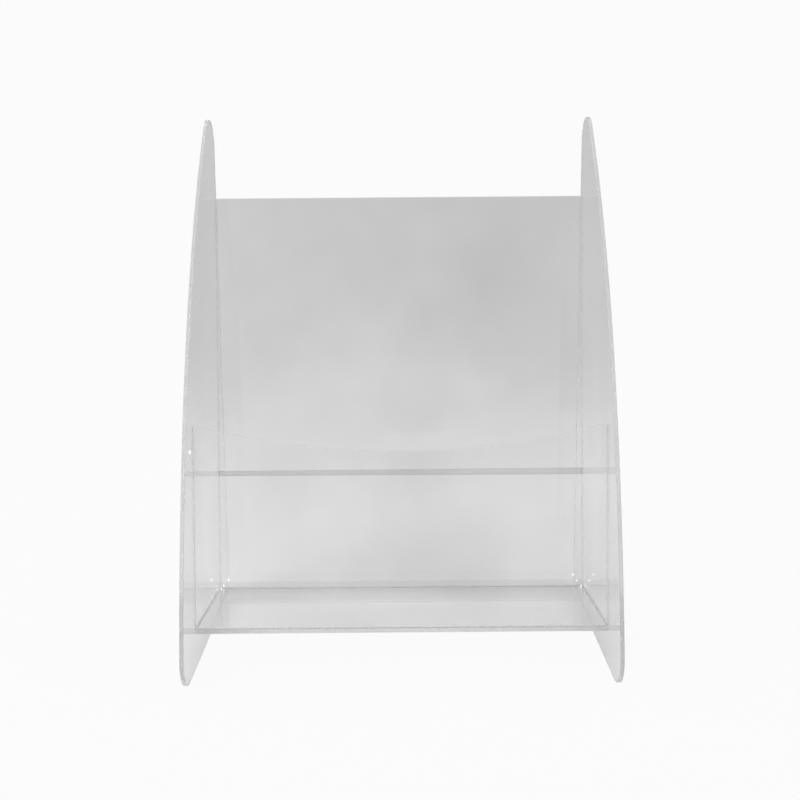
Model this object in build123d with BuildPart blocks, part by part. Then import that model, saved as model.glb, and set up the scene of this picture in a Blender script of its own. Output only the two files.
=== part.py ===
from build123d import *
import math
import os

# Clear acrylic magazine rack. Two sail-shaped sides stand on edge, and a leaning back,
# a sloping pocket floor and an arched front are cemented between them.
# Millimetres, +Z up, the front faces -Y, the origin is on the ground under the middle.

# Clear width between the sides, and the thickness of each sheet
inner_width = 305.0
side_sheet = 3.0
back_sheet = 3.0
floor_sheet = 3.0
front_sheet = 3.0

# Side outline: distances forward of the straight rear edge, heights above the ground
toe_depth = 226.5          # where the front curve would meet the ground
front_depth = 200.2        # a point half-way along the lower front curve
front_height = 112.6
shoulder_depth = 161.9     # above this point the front curve is tighter
shoulder_height = 213.2
peak_height = 431.5        # where the front curve would meet the rear edge
tip_radius = 20.0
toe_radius = 21.0
heel_radius = 2.0
polish = 0.5               # rounding or bevel that polishing leaves on an exposed edge

# Back sheet, between the sides
back_foot = 51.7           # rear face of its foot, forward of the sides' rear edge
back_height = 341.6        # its top, where the rear face is flush with that edge
back_clear = 4.0           # gap under its foot

# Pocket floor and arched front
pocket_reach = 173.2       # front corner of the pocket, forward of the rear edge
pocket_height = 29.3       # top face of the floor at that corner
floor_slope = 4.8          # degrees down towards the back
front_lean = 7.6           # degrees off upright, towards the back
lip_height = 151.1         # along the front sheet, at the ends of its arched top edge
lip_dip = 20.0             # how far the middle of that edge dips

# Strip across the rear face of the back, sawn a little wider at one end
rib_height = 113.9         # its middle above the ground
rib_depth = 6.0
rib_left = 3.6
rib_right = 4.9

# Beads of cement along the inner joints
bead = 1.4                 # leg of the three-cornered bead
bead_hollow = 0.38         # middle of its hollow face, as a share of the leg
bead_gap = 0.2             # between the ends of neighbouring beads

half_width = inner_width / 2
back_lean = math.atan2(back_foot, back_height - back_clear)
back_length = (back_height - back_clear) / math.cos(back_lean)
lean = math.radians(front_lean)
slope = math.radians(floor_slope)


def save(part, name):
    part.label = name
    export_step(part, f"parts/{name}.step")


os.makedirs("parts", exist_ok=True)

# The outline of a side, drawn flat: X is distance behind the rear edge, Y is height
with BuildSketch() as side_outline:
    with BuildLine():
        lower = ThreePointArc(
            (-toe_depth, 0), (-front_depth, front_height), (-shoulder_depth, shoulder_height)
        )
        TangentArc((-shoulder_depth, shoulder_height), (0, peak_height), tangent=lower % 1)
        Polyline((0, peak_height), (0, 0), (-toe_depth, 0))
    make_face()
    fillet(side_outline.vertices().sort_by(Axis.Y)[-1], tip_radius)
    fillet(side_outline.vertices().sort_by(Axis.X)[0], toe_radius)
    ground = side_outline.vertices().group_by(Axis.Y)[0]
    fillet(ground.sort_by(Axis.X)[-1], heel_radius)

rear_y = side_outline.sketch.bounding_box().size.X / 2

# Directions up each leaning sheet, out of its front or top face, and back along the floor
back_up = Vector(0, math.sin(back_lean), math.cos(back_lean))
back_out = Vector(0, -math.cos(back_lean), math.sin(back_lean))
front_up = Vector(0, math.sin(lean), math.cos(lean))
front_out = Vector(0, -math.cos(lean), math.sin(lean))
floor_back = Vector(0, math.cos(slope), -math.sin(slope))
floor_up = Vector(0, math.sin(slope), math.cos(slope))

# Faces of the sheets. The Y axis of each plane runs up its sheet, or back along the floor.
across = Vector(1, 0, 0)
pocket_corner = Vector(0, rear_y - pocket_reach, pocket_height)
back_rear = Plane(Vector(0, rear_y - back_foot, back_clear), x_dir=across, z_dir=back_out)
back_front = back_rear.offset(back_sheet)
front_face = Plane(pocket_corner, x_dir=across, z_dir=front_out)
front_rear = front_face.offset(-front_sheet)
floor_top = Plane(pocket_corner, x_dir=across, z_dir=floor_up)


def along_floor(face):
    """Distance back along the floor's top, from the pocket's front corner to a sheet's face."""
    return (face.origin - pocket_corner).dot(face.z_dir) / floor_back.dot(face.z_dir)


back_corner = pocket_corner + floor_back * along_floor(back_front)
lip_corner = pocket_corner + floor_back * along_floor(front_rear)

# Sides
for name, side in (("side_left", -1), ("side_right", 1)):
    side_plane = Plane((side * half_width, rear_y, 0), x_dir=(0, 1, 0), z_dir=across)
    with BuildPart() as side_panel:
        with BuildSketch(side_plane):
            add(side_outline.sketch)
        extrude(amount=side * side_sheet)
        fillet(side_panel.faces().filter_by(Axis.X).edges(), polish)
    save(side_panel.part, name)

# Back
with BuildPart() as back_panel:
    with BuildSketch(back_rear):
        Rectangle(inner_width, back_length, align=(Align.CENTER, Align.MIN))
    extrude(amount=back_sheet)
    fillet(back_panel.faces().sort_by(Axis.Z)[-1].edges().filter_by(Axis.X), polish)
save(back_panel.part, "back_panel")

# Pocket floor, trimmed to the back's front face and to the pocket's front
with BuildPart() as floor_panel:
    with BuildSketch(floor_top):
        Rectangle(inner_width, 4 * toe_depth)
    extrude(amount=-floor_sheet)
    split(bisect_by=back_front, keep=Keep.TOP)
    split(bisect_by=front_face, keep=Keep.BOTTOM)
save(floor_panel.part, "floor_panel")

# Arched front, standing on the floor
with BuildPart() as front_panel:
    with BuildSketch(front_face):
        with BuildLine():
            ThreePointArc(
                (-half_width, lip_height), (0, lip_height - lip_dip), (half_width, lip_height)
            )
            Polyline(
                (half_width, lip_height),
                (half_width, -front_sheet),
                (-half_width, -front_sheet),
                (-half_width, lip_height),
            )
        make_face()
    extrude(amount=-front_sheet)
    split(bisect_by=floor_top, keep=Keep.TOP)
    chamfer(front_panel.edges().filter_by(GeomType.CIRCLE), polish)
save(front_panel.part, "front_panel")

# Strip across the rear of the back
rib_along = (rib_height - back_clear) / math.cos(back_lean)
with BuildPart() as back_rib:
    with BuildSketch(back_rear):
        Polygon(
            (-half_width, rib_along - rib_left / 2),
            (half_width, rib_along - rib_right / 2),
            (half_width, rib_along + rib_right / 2),
            (-half_width, rib_along + rib_left / 2),
            align=None,
        )
    extrude(amount=-rib_depth)
save(back_rib.part, "back_rib")

# Beads across the rack, where the floor meets the back and the front
inset = bead + bead_gap
for name, corner, wall in (
    ("cement_floor_back", back_corner, (back_up, floor_back * -1)),
    ("cement_floor_front", lip_corner, (front_up, floor_back)),
):
    tips = [corner + direction * bead for direction in wall]
    hollow = corner + (wall[0] + wall[1]) * (bead * bead_hollow)
    with BuildPart() as cross_bead:
        with BuildSketch(Plane.YZ):
            with BuildLine():
                ThreePointArc((tips[0].Y, tips[0].Z), (hollow.Y, hollow.Z), (tips[1].Y, tips[1].Z))
                Polyline((tips[1].Y, tips[1].Z), (corner.Y, corner.Z), (tips[0].Y, tips[0].Z))
            make_face()
        extrude(amount=half_width - inset, both=True)
    save(cross_bead.part, name)

# Beads up or along each side: start, direction, the face's outward direction and length
back_run = back_length - (back_corner - back_front.origin).dot(back_up) - inset - 2 * polish
front_run = lip_height - (lip_corner - pocket_corner).dot(front_up) - inset - bead
floor_run = along_floor(back_front) - along_floor(front_rear) - 2 * inset
for label, start, along, out, length in (
    ("back", back_corner, back_up, back_out, back_run),
    ("floor", back_corner, floor_back * -1, floor_up, floor_run),
    ("front", lip_corner, front_up, front_out * -1, front_run),
):
    for end, side in (("left", -1), ("right", 1)):
        foot = start + along * inset + across * (side * half_width)
        run_plane = Plane(foot, x_dir=across * -side, z_dir=along)
        turn = round(run_plane.y_dir.dot(out))
        with BuildPart() as side_bead:
            with BuildSketch(run_plane):
                with BuildLine():
                    middle = bead * bead_hollow
                    ThreePointArc((bead, 0), (middle, turn * middle), (0, turn * bead))
                    Polyline((0, turn * bead), (0, 0), (bead, 0))
                make_face()
            extrude(amount=length)
        save(side_bead.part, f"cement_{label}_{end}")
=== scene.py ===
import math
import bpy
import bmesh
from mathutils import Matrix, Vector


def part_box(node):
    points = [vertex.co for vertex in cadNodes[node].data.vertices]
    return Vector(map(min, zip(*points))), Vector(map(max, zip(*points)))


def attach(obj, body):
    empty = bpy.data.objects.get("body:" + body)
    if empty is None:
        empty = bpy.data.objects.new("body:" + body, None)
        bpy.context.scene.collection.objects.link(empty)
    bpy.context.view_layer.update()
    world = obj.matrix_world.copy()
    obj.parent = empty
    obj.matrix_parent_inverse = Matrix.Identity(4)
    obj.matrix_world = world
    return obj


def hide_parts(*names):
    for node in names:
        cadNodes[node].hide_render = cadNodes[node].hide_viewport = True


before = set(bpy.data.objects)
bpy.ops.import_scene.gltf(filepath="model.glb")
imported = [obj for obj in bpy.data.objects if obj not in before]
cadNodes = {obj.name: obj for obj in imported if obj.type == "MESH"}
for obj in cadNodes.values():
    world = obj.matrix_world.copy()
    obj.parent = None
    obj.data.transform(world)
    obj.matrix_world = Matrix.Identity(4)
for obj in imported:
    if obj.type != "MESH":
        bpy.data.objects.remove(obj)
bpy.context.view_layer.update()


def addNode(tree, kind, inputs=None, **settings):
    node = tree.nodes.new(kind)
    for key, value in settings.items():
        setattr(node, key, value)
    for key, value in (inputs or {}).items():
        socket = node.inputs[key]
        if isinstance(value, bpy.types.NodeSocket):
            tree.links.new(value, socket)
        else:
            socket.default_value = value
    return node


def mathNode(tree, operation, first, second=0.0, clamp=False):
    node = addNode(tree, "ShaderNodeMath", {0: first, 1: second}, operation=operation, use_clamp=clamp)
    return node.outputs[0]


def rangeNode(tree, value, low, high, toLow, toHigh, smooth=False):
    node = addNode(
        tree,
        "ShaderNodeMapRange",
        {"Value": value, "From Min": low, "From Max": high, "To Min": toLow, "To Max": toHigh},
        interpolation_type="SMOOTHSTEP" if smooth else "LINEAR",
    )
    return node.outputs["Result"]


def lengthOf(tree, vector):
    node = addNode(tree, "ShaderNodeVectorMath", {0: vector}, operation="LENGTH")
    return node.outputs["Value"]


def mixValues(tree, factor, first, second):
    node = addNode(tree, "ShaderNodeMix", data_type="FLOAT")
    for index, value in ((0, factor), (2, first), (3, second)):
        if isinstance(value, bpy.types.NodeSocket):
            tree.links.new(value, node.inputs[index])
        else:
            node.inputs[index].default_value = value
    return node.outputs[0]


def noiseNode(tree, place, scale, detail=2.0, rough=0.5, stretch=(1.0, 1.0, 1.0), shift=(0.0, 0.0, 0.0)):
    mapped = addNode(tree, "ShaderNodeMapping", {"Vector": place, "Scale": stretch, "Location": shift})
    node = addNode(
        tree,
        "ShaderNodeTexNoise",
        {"Vector": mapped.outputs[0], "Scale": scale, "Detail": detail, "Roughness": rough},
    )
    return node.outputs[0]


noiseSpan = (0.3, 0.7)      # nearly all of a noise's values lie between these
coolness = 1.003            # greys lean a trace to blue


def grey(value):
    return (value, value, value * coolness, 1.0)


def newMaterial(name):
    material = bpy.data.materials.new(name)
    material.use_nodes = True
    tree = material.node_tree
    tree.nodes.clear()
    output = tree.nodes.new("ShaderNodeOutputMaterial")
    shader = tree.nodes.new("ShaderNodeBsdfPrincipled")
    tree.links.new(shader.outputs[0], output.inputs["Surface"])
    return material, tree, shader


def putOn(piece, material):
    piece.data.materials.clear()
    piece.data.materials.append(material)


cameraLook = {
    "place": (0.0, -0.8772, 0.3473),
    "pitchDown": 10.2,      # degrees
    "roll": 0.45,
    "lens": 52.335,
    "sensor": 36.0,
}

cameraData = bpy.data.cameras.new("rackCamera")
cameraData.lens = cameraLook["lens"]
cameraData.sensor_width = cameraLook["sensor"]
camera = bpy.data.objects.new("rackCamera", cameraData)
bpy.context.scene.collection.objects.link(camera)
aim = Matrix.Rotation(math.radians(90.0 - cameraLook["pitchDown"]), 4, "X")
spin = Matrix.Rotation(math.radians(-cameraLook["roll"]), 4, "Z")
camera.matrix_world = Matrix.Translation(cameraLook["place"]) @ aim @ spin
bpy.context.scene.camera = camera
print("camera placed")

studio = {                  # metres, and levels of light from 0 to 1
    "centreRadius": 0.45,
    "floorRadius": 1.7,
    "coveRadius": 1.0,
    "coveSteps": 16,
    "wallTop": 3.2,
    "segments": 96,
    "greyDrop": 0.0001,     # hair of air under the sheets' feet, for reflections
    "white": 0.973,         # what the camera sees of the floor and the wall
    "whitePaint": 0.03,     # the share of it that is lit, and takes a shadow
    "greyPaint": 0.40,
    "paintHaze": 0.9,
    "greyNear": 0.82,       # what shows in the clear sheets and through them: floor by the rack
    "greyFar": 0.66,        # floor a metre away
    "greyWall": 0.56,
    "nearRadius": 0.25,
    "farRadius": 1.1,
    "wallRadius": 2.5,
    "greyUnder": 0.33,      # added to the floor under the front of the rack
    "underMiddle": -0.12,   # Y of that patch
    "underSqueeze": 0.35,   # width is counted at this rate, so the patch is wider than deep
    "underReach": (0.18, 0.23),
    "underSides": (0.13, 0.155),        # it stops short of the two feet
    "lowGlow": 0.10,        # paler band low on the wall before the rack
    "glowReach": (-0.7, -2.2),
    "glowHeight": (0.30, 0.65),
    "rightShare": 0.94,     # the right hand side is a little darker
    "rightReach": (-0.05, 0.25),
    "leftShare": 1.06,
    "leftReach": (-0.60, -0.20),
    "softboxes": {          # place, what it faces, size, watts
        "softboxLeft": ((-1.1, -0.9, 1.3), (0.0, 0.0, 0.2), (0.6, 0.8), 8.0),
        "softboxRight": ((1.2, -0.6, 1.1), (0.0, 0.0, 0.2), (0.4, 1.0), 3.0),
        "softboxTop": ((0.0, 0.5, 1.7), (0.0, 0.0, 0.1), (1.4, 0.7), 3.0),
    },
}


def makeBowlMesh(name, values):
    profile = [(values["centreRadius"], 0.0), (values["floorRadius"], 0.0)]    # radius and height
    for step in range(1, values["coveSteps"] + 1):
        angle = math.radians(90.0) * step / values["coveSteps"]
        profile.append((
            values["floorRadius"] + values["coveRadius"] * math.sin(angle),
            values["coveRadius"] * (1.0 - math.cos(angle)),
        ))
    profile.append((values["floorRadius"] + values["coveRadius"], values["wallTop"]))
    mesh = bmesh.new()
    centre = mesh.verts.new((0.0, 0.0, 0.0))
    rings = []
    for radius, height in profile:
        rings.append([
            mesh.verts.new((
                radius * math.cos(2 * math.pi * turn / values["segments"]),
                radius * math.sin(2 * math.pi * turn / values["segments"]),
                height,
            ))
            for turn in range(values["segments"])
        ])
    for turn in range(values["segments"]):
        after = (turn + 1) % values["segments"]
        mesh.faces.new((centre, rings[0][turn], rings[0][after]))
        for inner, outer in zip(rings, rings[1:]):
            mesh.faces.new((inner[turn], outer[turn], outer[after], inner[after]))
    data = bpy.data.meshes.new(name)
    mesh.to_mesh(data)
    mesh.free()
    for face in data.polygons:
        face.use_smooth = True
    bowl = bpy.data.objects.new(name, data)
    bpy.context.scene.collection.objects.link(bowl)
    bowl.visible_shadow = False
    return bowl


def bowlPaint(name, paint, haze):
    material, tree, shader = newMaterial(name)
    shader.inputs["Base Color"].default_value = grey(paint)
    shader.inputs["Roughness"].default_value = haze
    shader.inputs["Specular IOR Level"].default_value = 0.0
    shader.inputs["Emission Color"].default_value = (1.0, 1.0, 1.0, 1.0)
    return material, tree, shader


def makeWhitePaint(values):
    material, tree, shader = bowlPaint("whiteBowlPaint", values["whitePaint"], values["paintHaze"])
    shader.inputs["Emission Strength"].default_value = values["white"] * (1.0 - values["whitePaint"])
    return material


def makeGreyPaint(values):
    material, tree, shader = bowlPaint("greyBowlPaint", values["greyPaint"], values["paintHaze"])
    keep = 1.0 - values["greyPaint"]
    place = tree.nodes.new("ShaderNodeTexCoord").outputs["Object"]
    parts = addNode(tree, "ShaderNodeSeparateXYZ", {"Vector": place}).outputs

    # floor, paler by the rack
    flat = addNode(tree, "ShaderNodeCombineXYZ", {"X": parts["X"], "Y": parts["Y"]})
    radius = lengthOf(tree, flat.outputs[0])
    near, far = values["greyNear"] * keep, values["greyFar"] * keep
    onFloor = rangeNode(tree, radius, values["nearRadius"], values["farRadius"], near, far, smooth=True)

    # patch under the front of the rack
    underX = mathNode(tree, "MULTIPLY", parts["X"], values["underSqueeze"])
    underY = mathNode(tree, "SUBTRACT", parts["Y"], values["underMiddle"])
    under = addNode(tree, "ShaderNodeCombineXYZ", {"X": underX, "Y": underY})
    under = lengthOf(tree, under.outputs[0])
    under = rangeNode(tree, under, *values["underReach"], values["greyUnder"] * keep, 0.0, smooth=True)
    between = mathNode(tree, "ABSOLUTE", parts["X"])
    between = rangeNode(tree, between, *values["underSides"], 1.0, 0.0, smooth=True)
    onFloor = mathNode(tree, "ADD", onFloor, mathNode(tree, "MULTIPLY", under, between))

    # wall, and the paler band low on it
    toWall = rangeNode(tree, radius, values["farRadius"], values["wallRadius"], 0.0, 1.0, smooth=True)
    level = mixValues(tree, toWall, onFloor, values["greyWall"] * keep)
    before = rangeNode(tree, parts["Y"], *values["glowReach"], 0.0, values["lowGlow"], smooth=True)
    lowDown = rangeNode(tree, parts["Z"], *values["glowHeight"], 1.0, 0.0, smooth=True)
    level = mathNode(tree, "ADD", level, mathNode(tree, "MULTIPLY", before, lowDown))

    rightHand = rangeNode(tree, parts["X"], *values["rightReach"], 1.0, values["rightShare"], smooth=True)
    leftHand = rangeNode(tree, parts["X"], *values["leftReach"], values["leftShare"], 1.0, smooth=True)
    level = mathNode(tree, "MULTIPLY", level, mathNode(tree, "MULTIPLY", leftHand, rightHand))
    tree.links.new(level, shader.inputs["Emission Strength"])
    return material


def makeSoftbox(name, place, target, size, watts):
    data = bpy.data.lights.new(name, "AREA")
    data.shape = "RECTANGLE"
    data.size, data.size_y = size
    data.energy = watts
    box = bpy.data.objects.new(name, data)
    bpy.context.scene.collection.objects.link(box)
    toward = Vector(target) - Vector(place)
    box.matrix_world = Matrix.Translation(place) @ toward.to_track_quat("-Z", "Y").to_matrix().to_4x4()
    box.visible_camera = False
    return box


whiteBowl = makeBowlMesh("whiteBowl", studio)
putOn(whiteBowl, makeWhitePaint(studio))
whiteBowl.visible_glossy = False
whiteBowl.visible_transmission = False
whiteBowl.visible_diffuse = False
greyBowl = makeBowlMesh("greyBowl", studio)
greyBowl.location.z = -studio["greyDrop"]
putOn(greyBowl, makeGreyPaint(studio))
greyBowl.visible_camera = False
world = bpy.data.worlds.new("rackWorld")
bpy.context.scene.world = world
world.use_nodes = True
world.node_tree.nodes["Background"].inputs["Color"].default_value = (1.0, 1.0, 1.0, 1.0)
world.node_tree.nodes["Background"].inputs["Strength"].default_value = studio["greyWall"]
bpy.context.scene.view_settings.view_transform = "Standard"
bpy.context.scene.cycles.max_bounces = 128
bpy.context.scene.cycles.glossy_bounces = 128    # light trapped in a sheet turns many times
bpy.context.scene.cycles.transmission_bounces = 48
for name, (place, target, size, watts) in studio["softboxes"].items():
    makeSoftbox(name, place, target, size, watts)

flag = {                    # dark card beside the lens, that the back sheet mirrors faintly
    "centre": (0.028, -0.95, 0.305),
    "halfWidth": 0.060,
    "halfHeight": 0.175,
    "darkness": 0.8,
    "fade": (0.55, 1.3),    # where it begins to thin out, and where it ends
    "margin": 1.4,          # the card is cut this much larger than its patch
}


def makeFlag(values):
    x, y, z = values["centre"]
    wide, tall = values["halfWidth"] * values["margin"], values["halfHeight"] * values["margin"]
    data = bpy.data.meshes.new("darkFlag")
    signs = ((-1, -1), (1, -1), (1, 1), (-1, 1))
    corners = [(x + wide * alongX, y, z + tall * alongZ) for alongX, alongZ in signs]
    data.from_pydata(corners, [], [(3, 2, 1, 0)])
    card = bpy.data.objects.new("darkFlag", data)
    bpy.context.scene.collection.objects.link(card)
    material, tree, shader = newMaterial("darkFlagCloth")
    place = tree.nodes.new("ShaderNodeTexCoord").outputs["Object"]
    sizes = (1.0 / values["halfWidth"], 1.0, 1.0 / values["halfHeight"])
    spread = addNode(tree, "ShaderNodeVectorMath", {0: place, 1: values["centre"]}, operation="SUBTRACT")
    spread = addNode(tree, "ShaderNodeVectorMath", {0: spread.outputs[0], 1: sizes}, operation="MULTIPLY")
    reach = lengthOf(tree, spread.outputs[0])
    cover = rangeNode(tree, reach, *values["fade"], values["darkness"], 0.0, smooth=True)
    tree.links.new(cover, shader.inputs["Alpha"])
    shader.inputs["Base Color"].default_value = grey(0.01)
    shader.inputs["Roughness"].default_value = 1.0
    shader.inputs["Specular IOR Level"].default_value = 0.0
    putOn(card, material)
    card.visible_camera = False
    card.visible_transmission = False
    card.visible_diffuse = False
    card.visible_shadow = False
    return card


makeFlag(flag)
print("floor and softboxes made")

# per sheet: the two tints set by height are the acrylic's tint with painted shade, darker towards the tops
# of the side and back sheets
sheetLooks = {
    "sideSheet": {
        "nodes": ("side_left", "side_right"),
        "slot": "side_acrylic",
        "ease": None,
        "faceAxis": (1.0, 0.0, 0.0),
        "low": 0.29, "high": 0.35,
        "tintAndShadeLow": 0.953, "tintAndShadeHigh": 0.931,
        "edgeTint": 0.96,
        "footShadeTop": -0.01, "footShadeTint": 1.0,
        "haze": 0.015, "edgeHaze": 0.22, "edgeClear": 0.72,
        "cloud": 0.05, "ripple": 0.05, "hairlines": 0.4,
    },
    "backSheet": {
        "nodes": ("back_panel",),
        "slot": "back_acrylic",
        "ease": (0.0, 0.0, 0.0),
        "faceAxis": (0.0, -0.9885, 0.1514),
        "low": 0.02, "high": 0.33,
        "tintAndShadeLow": 0.95, "tintAndShadeHigh": 0.94,
        "edgeTint": 0.96,
        # the foot settings paint shade on the back sheet below the floor, with a painted highlight line
        # along its foot
        "footShadeTop": 0.0235, "footShadeTint": 0.91,
        "haze": 0.02, "edgeHaze": 0.22, "edgeClear": 1.0,
        "cloud": 0.07, "ripple": 0.06, "hairlines": 0.5,
    },
    "floorSheet": {
        "nodes": ("floor_panel",),
        "slot": "floor_acrylic",
        "ease": (0.0, -0.00006, 0.0),
        "faceAxis": (0.0, 0.0837, 0.9965),
        "low": 0.0, "high": 0.04,
        # painted light: the floor sheet gets a paler tint than the other sheets, so it reads brighter
        "tintAndShadeLow": 0.985, "tintAndShadeHigh": 0.985,
        "edgeTint": 0.98,
        "footShadeTop": -0.01, "footShadeTint": 1.0,
        "haze": 0.03, "edgeHaze": 0.22, "edgeClear": 0.50,
        "cloud": 0.05, "ripple": 0.05, "hairlines": 0.5,
    },
    "frontSheet": {
        "nodes": ("front_panel",),
        "slot": "front_acrylic",
        "ease": (0.0, -0.00001, 0.00006),
        "faceAxis": (0.0, -0.9912, 0.1323),
        "low": 0.03, "high": 0.17,
        "tintAndShadeLow": 0.97, "tintAndShadeHigh": 0.97,
        "edgeTint": 0.96,
        "footShadeTop": -0.01, "footShadeTint": 1.0,
        "haze": 0.012, "edgeHaze": 0.22, "edgeClear": 0.80,
        "cloud": 0.03, "ripple": 0.05, "hairlines": 0.4,
    },
}


acrylic = {                 # what all the clear sheets share; scales per metre, depths in metres
    "bend": 1.49,           # refraction
    "cloudScale": 7.0,
    "streakScale": 24.0,
    "edgeRange": (0.98, 0.80),          # how far a face is turned from the sheet's own before it is edge
    "edgeTintSpread": (0.97, 1.03),
    "edgeHazeSpread": (0.6, 1.5),
    "footShadeFade": 0.001,
    "footHighlightLine": (0.0056, 0.0060),       # heights where the painted highlight line along the foot ends and the painted shade above it begins
    "hairScale": 22.0,
    "hairStretch": (1.6, 1.6, 0.5),
    "hairWidth": 0.006,
    "hairPatchScale": 35.0,
    "hairPatches": (0.52, 0.60),        # levels of the second noise where the hairlines come in
    "hairHaze": 0.12,
    "hairDepth": 0.004,
    "wipeScale": 5.0,
    "wipeStretch": (3.0, 3.0, 1.0),
    "wipeRange": (0.45, 0.75),
    "wipeHaze": 0.04,
    "slowScale": 9.0,
    "waveScale": 45.0,
    "waveDepth": 0.002,
    "reliefDepth": 0.004,
    "patternShift": 0.37,   # moves the patterns from one kind of sheet to the next
}


def makeSheetMaterial(name, look, seedShift):
    material, tree, shader = newMaterial(name)
    coordinates = tree.nodes.new("ShaderNodeTexCoord")
    place = coordinates.outputs["Object"]
    shift = (seedShift, seedShift * 0.7, 0.0)

    # painted shade: the tint darkens with height on the side and back sheets, standing in for the darker
    # surroundings seen in their upper parts; the cloud noise is random tone
    height = addNode(tree, "ShaderNodeSeparateXYZ", {"Vector": place}).outputs["Z"]
    shadeRise = rangeNode(tree, height, look["low"], look["high"], 0.0, 1.0, smooth=True)
    cloud = noiseNode(tree, place, acrylic["cloudScale"], 3.0, 0.55, shift=shift)
    cloudGain = rangeNode(tree, cloud, *noiseSpan, 1.0 - look["cloud"], 1.0 + look["cloud"])
    faceTintAndShade = mixValues(tree, shadeRise, look["tintAndShadeLow"], look["tintAndShadeHigh"])
    faceTintAndShade = mathNode(tree, "MULTIPLY", faceTintAndShade, cloudGain, clamp=True)

    geometry = tree.nodes.new("ShaderNodeNewGeometry")
    facing = addNode(
        tree, "ShaderNodeVectorMath",
        {0: geometry.outputs["True Normal"], 1: look["faceAxis"]}, operation="DOT_PRODUCT",
    ).outputs["Value"]
    edge = rangeNode(tree, mathNode(tree, "ABSOLUTE", facing), *acrylic["edgeRange"], 0.0, 1.0)

    streaks = noiseNode(tree, place, acrylic["streakScale"], 2.0, 0.5, shift=shift)
    edgeTints = [min(look["edgeTint"] * share, 1.0) for share in acrylic["edgeTintSpread"]]
    edgeTint = rangeNode(tree, streaks, *noiseSpan, *edgeTints)
    tint = mixValues(tree, edge, faceTintAndShade, edgeTint)
    # painted shade: the back sheet is darkened from just above its foot up to the floor, where the floor
    # shades it; the lowest few millimetres stay paler, a painted highlight line along the foot
    foot = rangeNode(tree, height, look["footShadeTop"], look["footShadeTop"] + acrylic["footShadeFade"], 1.0, 0.0)
    foot = mathNode(tree, "MULTIPLY", foot, rangeNode(tree, height, *acrylic["footHighlightLine"], 0.0, 1.0))
    tint = mathNode(tree, "MULTIPLY", tint, mixValues(tree, foot, 1.0, look["footShadeTint"]))
    color = addNode(tree, "ShaderNodeCombineColor", {"Red": tint, "Green": tint, "Blue": tint})
    tree.links.new(color.outputs[0], shader.inputs["Base Color"])

    # hairline scratches: thin bands of a slow noise, broken up by a second one
    hairNoise = noiseNode(
        tree, place, acrylic["hairScale"], 1.0, 0.4, stretch=acrylic["hairStretch"], shift=shift)
    hairDistance = mathNode(tree, "ABSOLUTE", mathNode(tree, "SUBTRACT", hairNoise, 0.5))
    hairBand = rangeNode(tree, hairDistance, 0.0, acrylic["hairWidth"], 1.0, 0.0)
    patches = noiseNode(tree, place, acrylic["hairPatchScale"], 2.0, 0.6, shift=shift)
    hairBreak = rangeNode(tree, patches, *acrylic["hairPatches"], 0.0, 1.0)
    hairlines = mathNode(tree, "MULTIPLY", hairBand, hairBreak)

    # soft wipe marks left by a cloth
    wipeShift = (seedShift + 3.0, 0.0, 1.0)
    wipe = noiseNode(
        tree, place, acrylic["wipeScale"], 4.0, 0.6, stretch=acrylic["wipeStretch"], shift=wipeShift)
    wipeGain = rangeNode(tree, wipe, *acrylic["wipeRange"], 0.0, acrylic["wipeHaze"], smooth=True)
    faceHaze = mathNode(tree, "ADD", wipeGain, look["haze"])
    hairHaze = mathNode(tree, "MULTIPLY", hairlines, acrylic["hairHaze"] * look["hairlines"])
    faceHaze = mathNode(tree, "ADD", faceHaze, hairHaze)
    edgeHazes = [look["edgeHaze"] * share for share in acrylic["edgeHazeSpread"]]
    edgeHaze = rangeNode(tree, streaks, *noiseSpan, *edgeHazes)
    roughness = mixValues(tree, edge, faceHaze, edgeHaze)
    tree.links.new(roughness, shader.inputs["Roughness"])

    # cast sheet is never quite flat; polished edges keep a little of the saw's waviness
    slow = noiseNode(tree, place, acrylic["slowScale"], 1.0, 0.4, shift=(0.0, seedShift, 2.0))
    waves = noiseNode(tree, place, acrylic["waveScale"], 1.0, 0.4, shift=shift)
    waves = mathNode(tree, "SUBTRACT", waves, 0.5)
    relief = mathNode(tree, "MULTIPLY", slow, look["ripple"])
    grooves = mathNode(tree, "MULTIPLY", hairlines, acrylic["hairDepth"] * look["hairlines"])
    relief = mathNode(tree, "SUBTRACT", relief, grooves)
    edgeRelief = mathNode(tree, "MULTIPLY", mathNode(tree, "MULTIPLY", waves, edge), acrylic["waveDepth"])
    relief = mathNode(tree, "ADD", relief, edgeRelief)
    bump = addNode(
        tree, "ShaderNodeBump", {"Height": relief, "Strength": 1.0, "Distance": acrylic["reliefDepth"]})
    tree.links.new(bump.outputs[0], shader.inputs["Normal"])

    clearness = mixValues(tree, edge, 1.0, look["edgeClear"])
    tree.links.new(clearness, shader.inputs["Transmission Weight"])
    shader.inputs["IOR"].default_value = acrylic["bend"]
    return material


joint = {                   # metres
    "gap": 0.00006,         # hair of air left where two sheets meet, as where cement half fills a joint
    "merge": 0.000001,      # points this close are one
    "endFace": 0.00001,     # points this close to a sheet's end belong to it
    "cutWithin": 0.0000001, # points this close to a cut lie on it
    "flatWithin": 0.5,      # degrees between faces that count as one flat face
}


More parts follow.
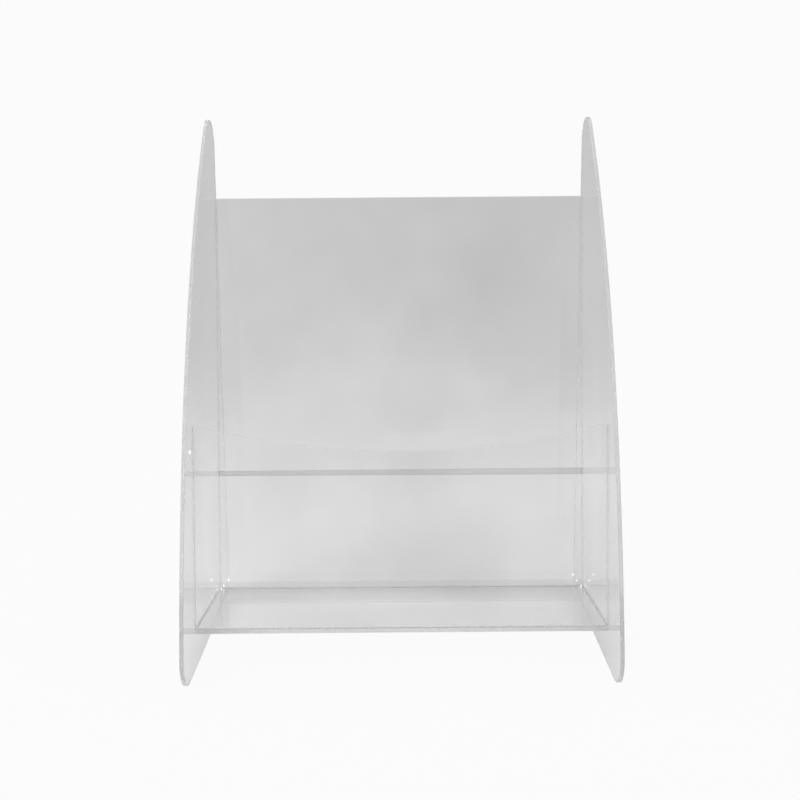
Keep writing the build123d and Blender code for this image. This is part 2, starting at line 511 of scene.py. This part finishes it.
def mergedCopy(node, name):
    mesh = bmesh.new()
    mesh.from_mesh(cadNodes[node].data)
    bmesh.ops.remove_doubles(mesh, verts=mesh.verts, dist=joint["merge"])
    flat = math.radians(joint["flatWithin"])
    bmesh.ops.dissolve_limit(mesh, angle_limit=flat, verts=mesh.verts, edges=mesh.edges)
    bmesh.ops.triangulate(mesh, faces=[face for face in mesh.faces if len(face.verts) > 4])
    data = bpy.data.meshes.new(name)
    mesh.to_mesh(data)
    mesh.free()
    data.shade_flat()        # the faces are flat, and merging has dropped the edges' own normals
    piece = bpy.data.objects.new(name, data)
    bpy.context.scene.collection.objects.link(piece)
    return piece


def easeJoints(piece, shift):
    lowX = min(vertex.co.x for vertex in piece.data.vertices)
    highX = max(vertex.co.x for vertex in piece.data.vertices)
    for vertex in piece.data.vertices:
        if vertex.co.x < lowX + joint["endFace"]:
            vertex.co.x = lowX + joint["gap"]
        if vertex.co.x > highX - joint["endFace"]:
            vertex.co.x = highX - joint["gap"]
        vertex.co += Vector(shift)


for number, (name, look) in enumerate(sheetLooks.items(), start=1):
    sheetMaterial = makeSheetMaterial(name, look, acrylic["patternShift"] * number)
    for node in look["nodes"]:
        if look["ease"] is None:
            piece = cadNodes[node]
        else:
            piece = mergedCopy(node, name)
            easeJoints(piece, look["ease"])
            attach(piece, "root")
            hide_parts(node)
        putOn(piece, sheetMaterial)
print("clear sheets finished")

sawnStrip = {
    "node": "back_rib",
    "slot": "sawn_acrylic",
    "tint": 0.99,
    "tintSpread": (0.96, 1.0),
    "toothTint": (0.98, 1.0),
    "haze": 0.40,
    "hazeSpread": (0.8, 1.2),
    "clearness": 0.92,
    "toothPitch": 0.0016,
    "toothDepth": 0.3,      # shares of the relief
    "grainDepth": 0.4,
    "wander": 9.0,          # how far the teeth drift from even, in radians
    "wanderScale": 40.0,
    "grainScale": 900.0,
    "cloudScale": 30.0,
    "reliefDepth": 0.0002,
    "reliefShare": 0.5,
}


def makeSawnMaterial(values):
    material, tree, shader = newMaterial("sawnStrip")
    place = tree.nodes.new("ShaderNodeTexCoord").outputs["Object"]
    across = addNode(tree, "ShaderNodeSeparateXYZ", {"Vector": place}).outputs["X"]
    drift = noiseNode(tree, place, values["wanderScale"], 2.0, 0.5)
    phase = mathNode(tree, "MULTIPLY", across, 2 * math.pi / values["toothPitch"])
    phase = mathNode(tree, "ADD", phase, mathNode(tree, "MULTIPLY", drift, values["wander"]))
    teeth = mathNode(tree, "SINE", phase)
    grain = noiseNode(tree, place, values["grainScale"], 3.0, 0.6)
    cloud = noiseNode(tree, place, values["cloudScale"], 3.0, 0.6)
    tints = [values["tint"] * share for share in values["tintSpread"]]
    tint = rangeNode(tree, cloud, *noiseSpan, *tints)
    tint = mathNode(tree, "MULTIPLY", tint, rangeNode(tree, teeth, -1.0, 1.0, *values["toothTint"]))
    color = addNode(tree, "ShaderNodeCombineColor", {"Red": tint, "Green": tint, "Blue": tint})
    tree.links.new(color.outputs[0], shader.inputs["Base Color"])
    hazes = [values["haze"] * share for share in values["hazeSpread"]]
    roughness = rangeNode(tree, grain, *noiseSpan, *hazes)
    tree.links.new(roughness, shader.inputs["Roughness"])
    fine = mathNode(tree, "MULTIPLY", grain, values["grainDepth"])
    relief = mathNode(tree, "ADD", mathNode(tree, "MULTIPLY", teeth, values["toothDepth"]), fine)
    bump = addNode(
        tree, "ShaderNodeBump",
        {"Height": relief, "Strength": values["reliefShare"], "Distance": values["reliefDepth"]},
    )
    tree.links.new(bump.outputs[0], shader.inputs["Normal"])
    shader.inputs["Transmission Weight"].default_value = values["clearness"]
    shader.inputs["IOR"].default_value = acrylic["bend"]
    return material


strip = mergedCopy(sawnStrip["node"], "sawnStrip")
easeJoints(strip, (0.0, joint["gap"], 0.0))
putOn(strip, makeSawnMaterial(sawnStrip))
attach(strip, "root")
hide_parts(sawnStrip["node"])
print("sawn strip finished")

cement = {                  # metres; scales per metre
    "slot": "clear_cement",
    "tint": 0.99,
    "tintSpread": (0.92, 1.0),
    "haze": 0.12,
    "hazeSpread": (0.5, 2.0),
    "bend": 1.16,           # refraction: wetted onto the sheets, a bead hardly bends the light
    "grainScale": 220.0,
    "grainDepth": 0.0006,
    "grainShare": 0.6,
    "gap": 0.00004,
    "lumpDepth": 0.00016,
    "lumps": 90.0,
    "slice": 0.0025,        # length of each short stretch that the lumps can move
    "dropSize": 0.0006,
    "dropSpread": (0.45, 1.0),
    "drops": 9000.0,        # per square metre
    "firstSeed": 3,
}


def makeCementMaterial(values):
    material, tree, shader = newMaterial("clearCement")
    place = tree.nodes.new("ShaderNodeTexCoord").outputs["Object"]
    lumps = noiseNode(tree, place, values["grainScale"], 2.0, 0.5)
    tints = [values["tint"] * share for share in values["tintSpread"]]
    tint = rangeNode(tree, lumps, *noiseSpan, *tints)
    color = addNode(tree, "ShaderNodeCombineColor", {"Red": tint, "Green": tint, "Blue": tint})
    tree.links.new(color.outputs[0], shader.inputs["Base Color"])
    hazes = [values["haze"] * share for share in values["hazeSpread"]]
    roughness = rangeNode(tree, lumps, *noiseSpan, *hazes)
    tree.links.new(roughness, shader.inputs["Roughness"])
    bump = addNode(
        tree, "ShaderNodeBump",
        {"Height": lumps, "Strength": values["grainShare"], "Distance": values["grainDepth"]},
    )
    tree.links.new(bump.outputs[0], shader.inputs["Normal"])
    shader.inputs["Transmission Weight"].default_value = 1.0
    shader.inputs["IOR"].default_value = values["bend"]
    return material


def slicedCopy(node, name, spacing):
    mesh = bmesh.new()
    mesh.from_mesh(cadNodes[node].data)
    bmesh.ops.remove_doubles(mesh, verts=mesh.verts, dist=joint["merge"])
    low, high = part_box(node)
    run = max(range(3), key=lambda axis: high[axis] - low[axis])
    slices = max(3, int((high[run] - low[run]) / spacing))
    along = Vector((0.0, 0.0, 0.0))
    along[run] = 1.0
    for step in range(1, slices):
        cut = Vector(low) + along * (high[run] - low[run]) * step / slices
        everything = mesh.verts[:] + mesh.edges[:] + mesh.faces[:]
        bmesh.ops.bisect_plane(
            mesh, geom=everything, dist=joint["cutWithin"], plane_co=cut, plane_no=along)
    data = bpy.data.meshes.new(name)
    mesh.to_mesh(data)
    mesh.free()
    data.shade_flat()
    piece = bpy.data.objects.new(name, data)
    bpy.context.scene.collection.objects.link(piece)
    return piece


def makeCementTree(dropSpread):
    tree = bpy.data.node_groups.new("cementRun", "GeometryNodeTree")
    face = tree.interface
    face.new_socket("Geometry", in_out="OUTPUT", socket_type="NodeSocketGeometry")
    face.new_socket("Geometry", in_out="INPUT", socket_type="NodeSocketGeometry")
    for label in ("Gap", "Lump depth", "Lumps per metre", "Drop size", "Drops per square metre"):
        face.new_socket(label, in_out="INPUT", socket_type="NodeSocketFloat")
    face.new_socket("Seed", in_out="INPUT", socket_type="NodeSocketInt")
    face.new_socket("Cement", in_out="INPUT", socket_type="NodeSocketMaterial")
    given = tree.nodes.new("NodeGroupInput").outputs
    result = tree.nodes.new("NodeGroupOutput")
    place = tree.nodes.new("GeometryNodeInputPosition").outputs[0]
    lumps = addNode(
        tree, "ShaderNodeTexNoise",
        {"Vector": place, "Scale": given["Lumps per metre"], "Detail": 2.0},
    )
    inward = addNode(
        tree, "ShaderNodeMapRange",
        {
            "Value": lumps.outputs[0], "From Min": 0.35, "From Max": 0.65,
            "To Min": 0.0, "To Max": given["Lump depth"],
        },
    ).outputs[0]
    inward = mathNode(tree, "ADD", inward, given["Gap"])
    inward = mathNode(tree, "MULTIPLY", inward, -1.0)
    normal = tree.nodes.new("GeometryNodeInputNormal").outputs[0]
    offset = addNode(
        tree, "ShaderNodeVectorMath", {0: normal, "Scale": inward}, operation="SCALE").outputs[0]
    moved = addNode(
        tree, "GeometryNodeSetPosition", {"Geometry": given["Geometry"], "Offset": offset}).outputs[0]
    drops = addNode(
        tree, "GeometryNodeDistributePointsOnFaces",
        {"Mesh": moved, "Density": given["Drops per square metre"], "Seed": given["Seed"]},
    )
    ball = addNode(
        tree, "GeometryNodeMeshIcoSphere", {"Radius": given["Drop size"], "Subdivisions": 2}).outputs["Mesh"]
    ball = addNode(tree, "GeometryNodeSetShadeSmooth", {"Geometry": ball}).outputs[0]
    size = addNode(tree, "FunctionNodeRandomValue", {"Seed": given["Seed"]}, data_type="FLOAT")
    size.inputs[2].default_value, size.inputs[3].default_value = dropSpread
    placed = addNode(
        tree, "GeometryNodeInstanceOnPoints",
        {"Points": drops.outputs["Points"], "Instance": ball, "Scale": size.outputs[1]},
    ).outputs[0]
    joined = tree.nodes.new("GeometryNodeJoinGeometry")
    tree.links.new(placed, joined.inputs[0])
    tree.links.new(moved, joined.inputs[0])
    real = addNode(tree, "GeometryNodeRealizeInstances", {"Geometry": joined.outputs[0]}).outputs[0]
    painted = addNode(
        tree, "GeometryNodeSetMaterial", {"Geometry": real, "Material": given["Cement"]}).outputs[0]
    tree.links.new(painted, result.inputs[0])
    return tree


def runNodes(piece, tree, settings):
    modifier = piece.modifiers.new("build", "NODES")
    modifier.node_group = tree
    sockets = {item.name: item.identifier for item in tree.interface.items_tree if item.in_out == "INPUT"}
    for label, value in settings.items():
        modifier[sockets[label]] = value
    seen = piece.evaluated_get(bpy.context.evaluated_depsgraph_get())
    built = bpy.data.meshes.new_from_object(seen)
    piece.modifiers.remove(modifier)
    piece.data = built
    return piece


cementMaterial = makeCementMaterial(cement)
cementTree = makeCementTree(cement["dropSpread"])
beadNodes = sorted(name for name in cadNodes if name.startswith("cement_"))
for seed, node in enumerate(beadNodes, start=cement["firstSeed"]):
    piece = slicedCopy(node, "run_" + node, cement["slice"])
    runNodes(piece, cementTree, {
        "Gap": cement["gap"],
        "Lump depth": cement["lumpDepth"],
        "Lumps per metre": cement["lumps"],
        "Drop size": cement["dropSize"],
        "Drops per square metre": cement["drops"],
        "Seed": seed,
        "Cement": cementMaterial,
    })
    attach(piece, "root")
    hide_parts(node)
print("cement finished")

rackAngles = {"backLean": 8.708, "frontLean": 7.6, "floorSlope": 4.8}      # degrees, as the sheets stand

cementDrops = {             # metres
    "slot": "clear_cement",
    "tint": 0.97,
    "darkTint": 0.86,       # share of the tint that is left between the bubbles
    "haze": (0.12, 0.30),
    "bend": 1.47,
    "bubbleSpan": (0.0, 0.8),
    "bubbleScale": 2600.0,
    "bubbleDepth": 0.0001,
    "bubbleShare": 0.3,
    "bead": 0.0014,         # leg of the beads beside the corners
    "sheet": 0.003,         # thickness of the front sheet
    "gap": 0.00004,
    "rings": 7,
    "turns": 16,
    # sheet, end, in from the side or before the front sheet, up or forward of the corner,
    # half width, half length, height
    "drops": (
        ("back", -1, 0.0070, 0.0068, 0.0008, 0.0016, 0.0009),
        ("back", -1, 0.0030, 0.0022, 0.0007, 0.0008, 0.0007),
        ("floor", -1, 0.0016, 0.0034, 0.0008, 0.0010, 0.0008),
        ("floor", -1, 0.0042, 0.0075, 0.0006, 0.0009, 0.0006),
        ("back", 1, 0.0086, 0.0090, 0.0008, 0.0010, 0.0008),
        ("back", 1, 0.0053, 0.0040, 0.0008, 0.0009, 0.0008),
        ("floor", 1, 0.0018, 0.0022, 0.0008, 0.0012, 0.0008),
        ("floor", 1, 0.0034, 0.0080, 0.0006, 0.0008, 0.0006),
        ("side", -1, 0.0117, 0.1342, 0.0008, 0.0015, 0.0007),
    ),
}

glint = {"place": (0.3, -1.3, 1.1), "target": (0.0, 0.05, 0.05), "size": (0.3, 0.3), "watts": 46.0}


# each sheet's corner, the direction along it and the direction out of it
def sheetFrames():
    back = math.radians(rackAngles["backLean"])
    front = math.radians(rackAngles["frontLean"])
    slope = math.radians(rackAngles["floorSlope"])
    backLow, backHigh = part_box("cement_floor_back")
    frontLow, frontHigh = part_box("cement_floor_front")
    bead = cementDrops["bead"]
    backCorner = Vector((0.0, backHigh.y - bead * math.sin(back), backLow.z))
    frontCorner = Vector((0.0, frontLow.y, frontHigh.z - bead * math.cos(front)))
    return {
        "back": (
            backCorner,
            Vector((0, math.sin(back), math.cos(back))),
            Vector((0, -math.cos(back), math.sin(back))),
        ),
        "floor": (
            backCorner,
            Vector((0, -math.cos(slope), math.sin(slope))),
            Vector((0, math.sin(slope), math.cos(slope))),
        ),
        "side": (frontCorner, Vector((0, math.sin(front), math.cos(front))), Vector((1, 0, 0))),
    }


def makeDrops(values):
    frames = sheetFrames()
    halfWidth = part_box("back_panel")[1].x
    mesh = bmesh.new()
    for sheet, end, inward, along, halfAcross, halfAlong, height in values["drops"]:
        corner, up, out = frames[sheet]
        across = Vector((1.0, 0.0, 0.0))
        if sheet == "side":
            out, across = out * -end, Vector((0.0, -1.0, 0.0))
            foot = corner + Vector((end * halfWidth, 0, 0)) + across * (inward + values["sheet"])
        else:
            foot = corner + Vector((end * (halfWidth - inward), 0, 0))
        foot = foot + up * along + out * values["gap"]
        rings = []
        for ring in range(values["rings"]):
            tilt = math.radians(90.0) * ring / values["rings"]
            outward = out * height * math.sin(tilt)
            points = []
            for turn in range(values["turns"]):
                angle = 2 * math.pi * turn / values["turns"]
                sideways = across * halfAcross * math.cos(tilt) * math.cos(angle)
                lengthways = up * halfAlong * math.cos(tilt) * math.sin(angle)
                points.append(mesh.verts.new(foot + sideways + lengthways + outward))
            rings.append(points)
        top = mesh.verts.new(foot + out * height)
        mesh.faces.new(rings[0])
        for turn in range(values["turns"]):
            after = (turn + 1) % values["turns"]
            mesh.faces.new((rings[-1][turn], rings[-1][after], top))
            for inner, outer in zip(rings, rings[1:]):
                mesh.faces.new((inner[turn], inner[after], outer[after], outer[turn]))
    bmesh.ops.recalc_face_normals(mesh, faces=mesh.faces)
    data = bpy.data.meshes.new("cementDrops")
    mesh.to_mesh(data)
    mesh.free()
    for face in data.polygons:
        face.use_smooth = len(face.vertices) < 5
    piece = bpy.data.objects.new("cementDrops", data)
    bpy.context.scene.collection.objects.link(piece)
    return piece


def makeMilkyMaterial(values):
    material, tree, shader = newMaterial("milkyCement")
    place = tree.nodes.new("ShaderNodeTexCoord").outputs["Object"]
    bubbles = addNode(tree, "ShaderNodeTexVoronoi", {"Vector": place, "Scale": values["bubbleScale"]})
    bubbles = bubbles.outputs["Distance"]
    darkTint = values["tint"] * values["darkTint"]
    tint = rangeNode(tree, bubbles, *values["bubbleSpan"], values["tint"], darkTint)
    color = addNode(tree, "ShaderNodeCombineColor", {"Red": tint, "Green": tint, "Blue": tint})
    tree.links.new(color.outputs[0], shader.inputs["Base Color"])
    roughness = rangeNode(tree, bubbles, *values["bubbleSpan"], *values["haze"])
    tree.links.new(roughness, shader.inputs["Roughness"])
    bump = addNode(
        tree, "ShaderNodeBump",
        {"Height": bubbles, "Strength": values["bubbleShare"], "Distance": values["bubbleDepth"]},
    )
    tree.links.new(bump.outputs[0], shader.inputs["Normal"])
    shader.inputs["IOR"].default_value = values["bend"]
    return material


drops = makeDrops(cementDrops)
putOn(drops, makeMilkyMaterial(cementDrops))
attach(drops, "root")
glintTargets = bpy.data.collections.new("glintTargets")
glintTargets.objects.link(drops)
glintLight = makeSoftbox("glintLight", glint["place"], glint["target"], glint["size"], glint["watts"])
glintLight.light_linking.receiver_collection = glintTargets      # lights the drops alone
glintLight.light_linking.blocker_collection = glintTargets
print("drops finished")
